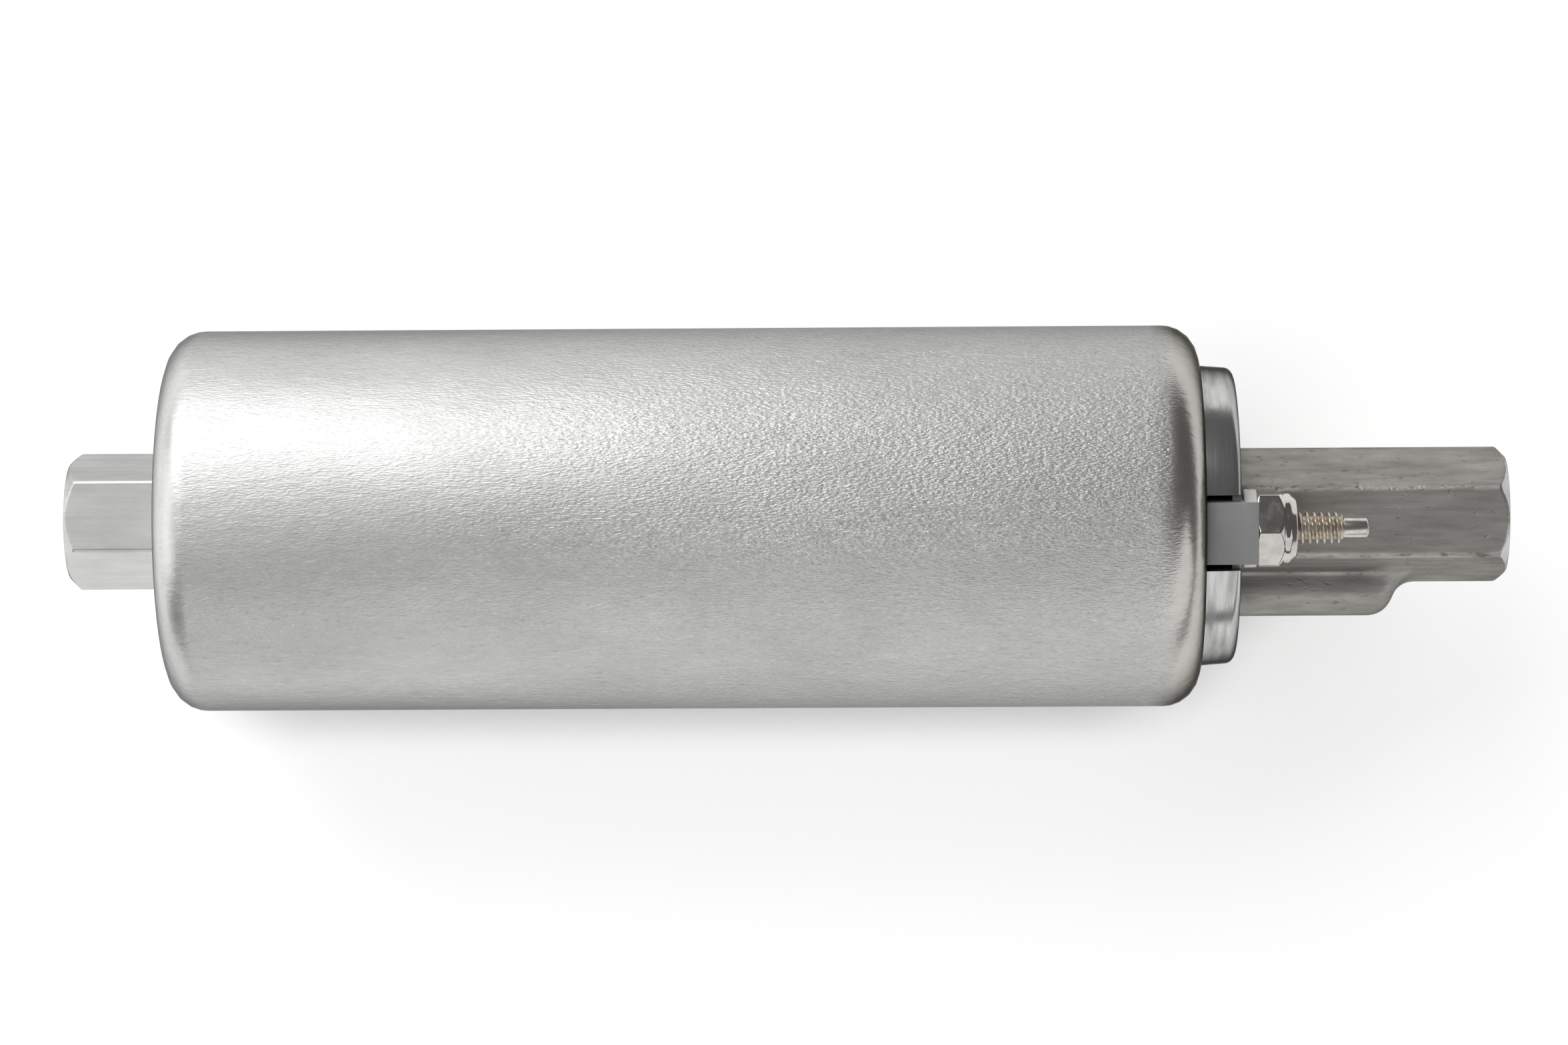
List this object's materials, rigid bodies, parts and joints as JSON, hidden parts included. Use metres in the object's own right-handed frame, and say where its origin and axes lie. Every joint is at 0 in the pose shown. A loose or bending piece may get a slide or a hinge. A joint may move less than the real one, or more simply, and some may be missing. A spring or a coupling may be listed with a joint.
{
  "type": "inline electric fuel pump",
  "caption": "Inline electric fuel pump: gerotor pump and brush motor in a round aluminium can, with threaded hexagon ports and screw terminals.",
  "frame": {"origin": "on the shaft's axis, at the middle of the can's straight clamping length", "axes": "+X along the shaft from the inlet to the outlet; +Z towards the positive terminal's side, which is 7 degrees off it; +Y completes a right-handed frame"},
  "size_m": [0.162, 0.043, 0.043],
  "materials": {
    "satin_aluminium": "etched satin, fine lengthwise marks",
    "machined_aluminium": "machined and brushed",
    "cast_aluminium": "die-cast, tumbled",
    "seal_rubber": "smooth",
    "sintered_steel": "sintered and ground",
    "black_screw_steel": "black oxide",
    "turned_brass": "turned",
    "bright_steel": "polished",
    "spring_steel": "drawn wire",
    "sintered_bronze": "sintered, oiled",
    "washer_plastic": "pressed fibre",
    "coupling_plastic": "glass-filled moulding",
    "ground_steel": "ground",
    "lamination_steel": "stamped stack",
    "enamelled_copper": "varnished",
    "insulator_plastic": "moulded",
    "commutator_resin": "phenolic",
    "segment_carbon": "ground carbon",
    "flux_steel": "zinc plated",
    "ferrite": "ground ferrite",
    "carrier_plastic": "glass-filled moulding",
    "brush_carbon": "pressed carbon",
    "copper_braid": "stranded copper",
    "grey_insulator": "smooth moulding",
    "natural_nylon": "translucent",
    "nickel_plate": "bright plated",
    "plated_brass": "plated",
    "valve_plastic": "acetal"
  },
  "bodies": {
    "housing": {"can": "satin_aluminium", "inlet_housing": "machined_aluminium", "outlet_housing": "cast_aluminium", "inlet_o_ring": "seal_rubber", "outlet_o_ring": "seal_rubber", "eccentric_ring": "sintered_steel", "port_plate": "sintered_steel", "stack_screws": "black_screw_steel", "relief_seat": "turned_brass", "relief_spring": "spring_steel", "front_bush": "sintered_bronze", "rear_bush": "sintered_bronze", "front_thrust_washer": "washer_plastic", "flux_ring": "flux_steel", "magnets": "ferrite", "magnet_clips": "spring_steel", "brush_carrier": "carrier_plastic", "positive_brush_spring": "spring_steel", "negative_brush_spring": "spring_steel", "positive_brush_lead": "copper_braid", "negative_brush_lead": "copper_braid", "terminal_blocks": "grey_insulator", "terminal_seals": "seal_rubber", "nylon_washers": "natural_nylon", "terminal_nuts": "nickel_plate", "positive_terminal_stud": "plated_brass", "negative_terminal_stud": "plated_brass", "check_valve_seat": "turned_brass", "check_valve_spring": "spring_steel", "check_valve_retainer": "turned_brass"},
    "armature": {"armature_shaft": "ground_steel", "armature_core": "lamination_steel", "armature_windings": "enamelled_copper", "front_end_insulator": "insulator_plastic", "rear_end_insulator": "insulator_plastic", "commutator_hub": "commutator_resin", "commutator_segments": "segment_carbon", "drive_coupling": "coupling_plastic", "inner_rotor": "sintered_steel", "rear_thrust_washer": "washer_plastic"},
    "outer_rotor": {"outer_rotor": "sintered_steel"},
    "check_valve": {"check_valve_poppet": "valve_plastic"},
    "relief_valve": {"relief_ball": "bright_steel"},
    "positive_brush": {"positive_brush": "brush_carbon"},
    "negative_brush": {"negative_brush": "brush_carbon"}
  },
  "joints": [
    {"name": "armature_spin", "type": "hinge", "parent": "housing", "child": "armature", "pos_m": [0, 0, 0], "axis": [1, 0, 0], "continuous": true},
    {"name": "outer_rotor_spin", "type": "hinge", "parent": "housing", "child": "outer_rotor", "pos_m": [-0.04442, 0, 0.0013], "axis": [1, 0, 0], "continuous": true},
    {"name": "check_valve_lift", "type": "slide", "parent": "housing", "child": "check_valve", "axis": [1, 0, 0], "range_m": [0, 0.002], "stiffness_N_per_m": 120, "springref_m": -0.004, "deforming": ["check_valve_spring"]},
    {"name": "relief_valve_lift", "type": "slide", "parent": "housing", "child": "relief_valve", "axis": [-1, 0, 0], "range_m": [0, 0.0015], "stiffness_N_per_m": 400, "springref_m": -0.006, "deforming": ["relief_spring"]},
    {"name": "positive_brush_slide", "type": "slide", "parent": "housing", "child": "positive_brush", "axis": [1, 0, 0], "range_m": [0, 0.002], "stiffness_N_per_m": 90, "springref_m": -0.008, "deforming": ["positive_brush_spring", "positive_brush_lead"]},
    {"name": "negative_brush_slide", "type": "slide", "parent": "housing", "child": "negative_brush", "axis": [1, 0, 0], "range_m": [0, 0.002], "stiffness_N_per_m": 90, "springref_m": -0.008, "deforming": ["negative_brush_spring", "negative_brush_lead"]}
  ],
  "couplings": [
    {"joint": "outer_rotor_spin", "follows": "armature_spin", "ratio": 0.85714}
  ]
}
